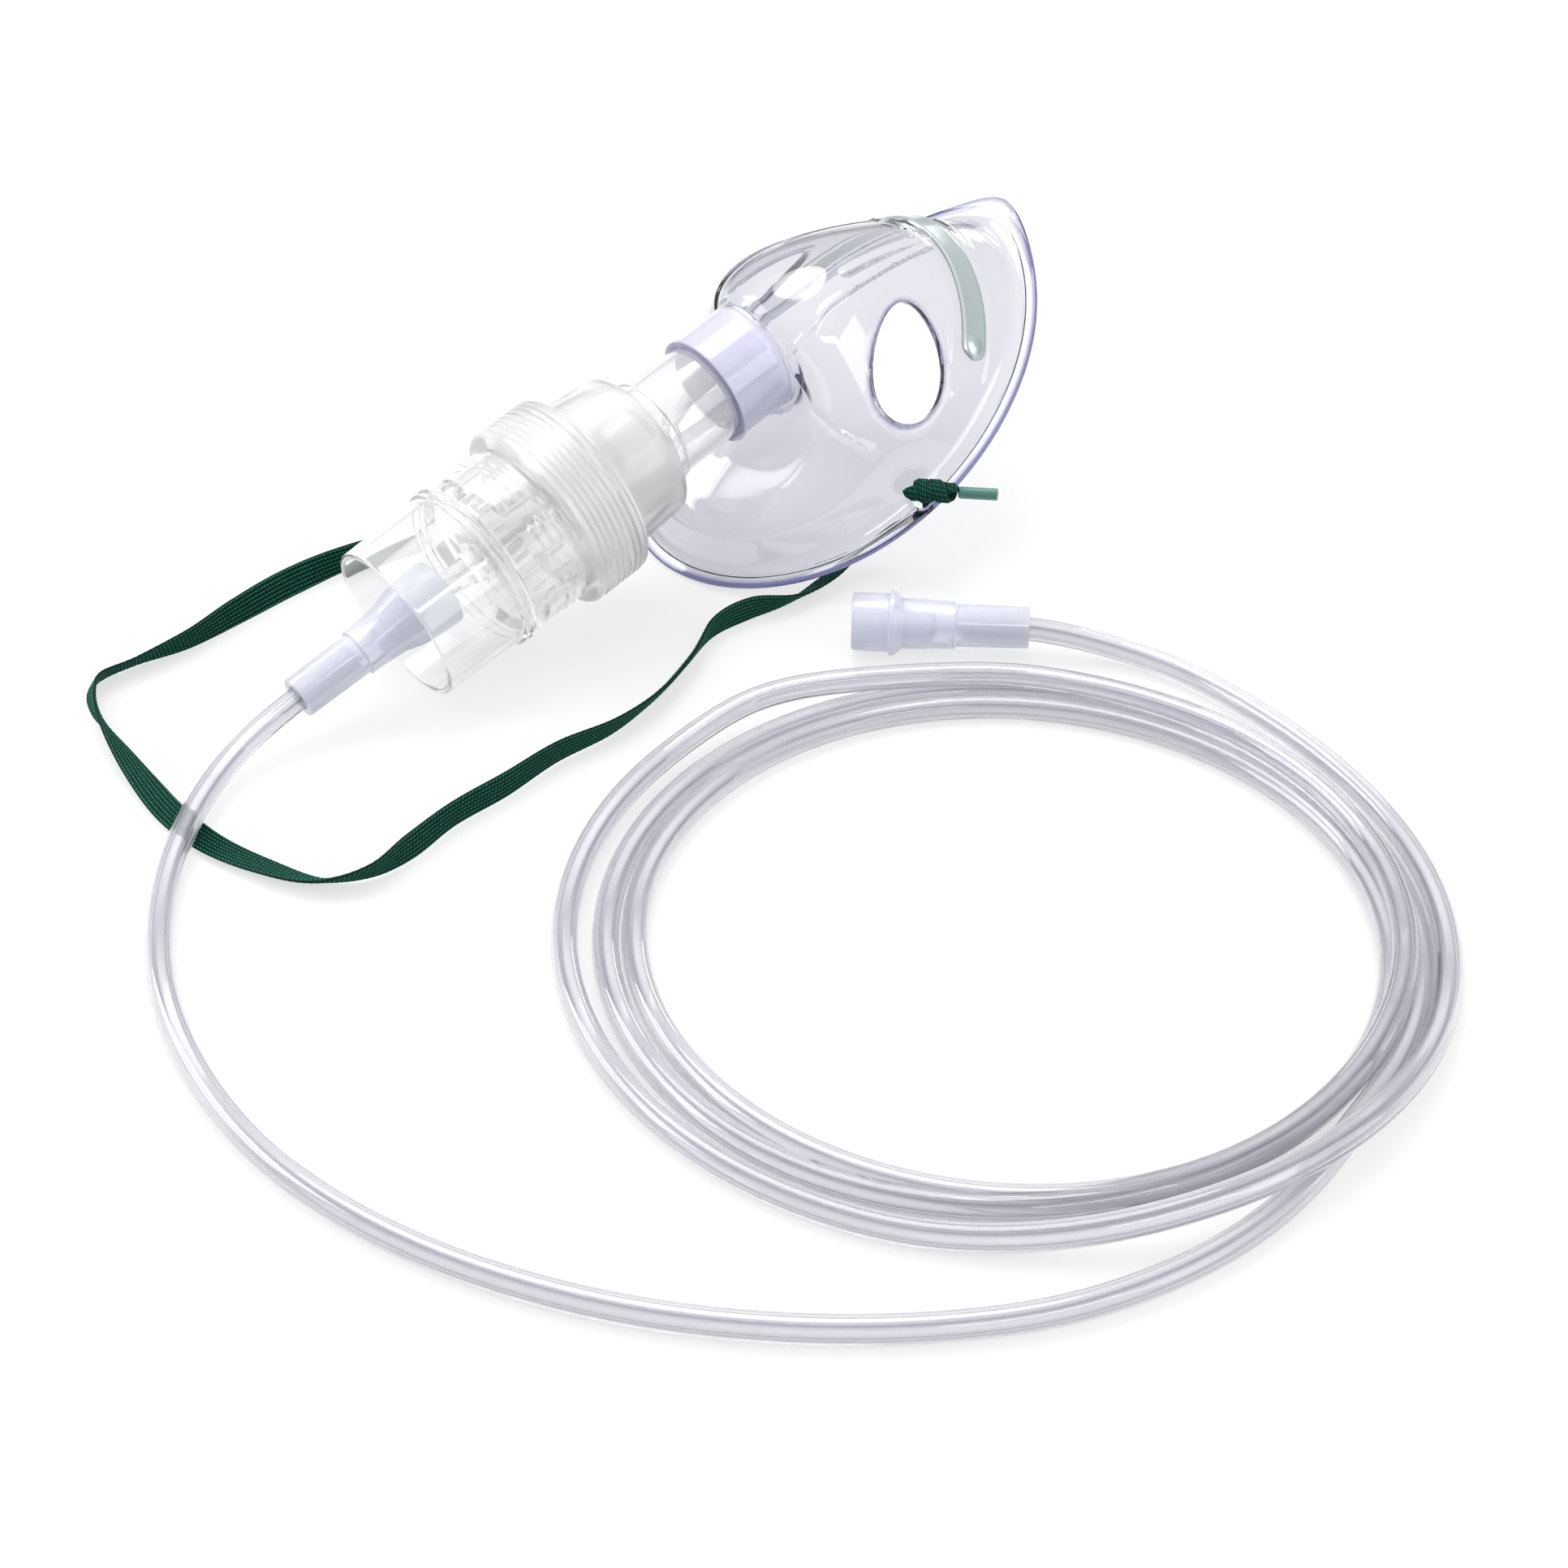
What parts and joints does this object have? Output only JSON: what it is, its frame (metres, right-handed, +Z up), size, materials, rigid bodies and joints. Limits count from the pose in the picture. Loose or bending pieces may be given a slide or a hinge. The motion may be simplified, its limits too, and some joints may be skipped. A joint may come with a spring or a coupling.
{
  "type": "nebuliser face mask",
  "caption": "Nebuliser oxygen mask set: soft clear face mask with nose clip, medicine jar with screw cap, coiled tubing with funnel connectors, and an elastic head strap.",
  "frame": {"origin": "bottom centre of the box round the mask, nebuliser and nose clip, on the table", "axes": "+X from the medicine jar towards the mask's nose, in the upright plane of symmetry of mask and nebuliser, +Z up"},
  "size_m": [0.2873, 0.2879, 0.0681],
  "materials": {
    "clear_pvc": "soft clear PVC with a lilac tint",
    "lilac_pvc": "soft translucent PVC",
    "frosted": "milky translucent moulding",
    "clear_plastic": "clear moulding",
    "green_elastic": "braided flat elastic",
    "aluminium": "satin strip"
  },
  "bodies": {
    "root": {"mask_shell": "clear_pvc", "nose_clip": "aluminium", "outlet_adapter": "clear_plastic", "nebuliser_cap": "frosted", "jet_cone": "clear_plastic", "jar": "clear_plastic", "jar_connector": "lilac_pvc", "tubing_lead": "clear_plastic", "tubing_coil": "clear_plastic", "tubing_tail": "clear_plastic", "wall_connector": "lilac_pvc", "strap": "green_elastic", "strap_tip_near": "clear_plastic", "strap_tip_far": "clear_plastic"}
  },
  "joints": []
}
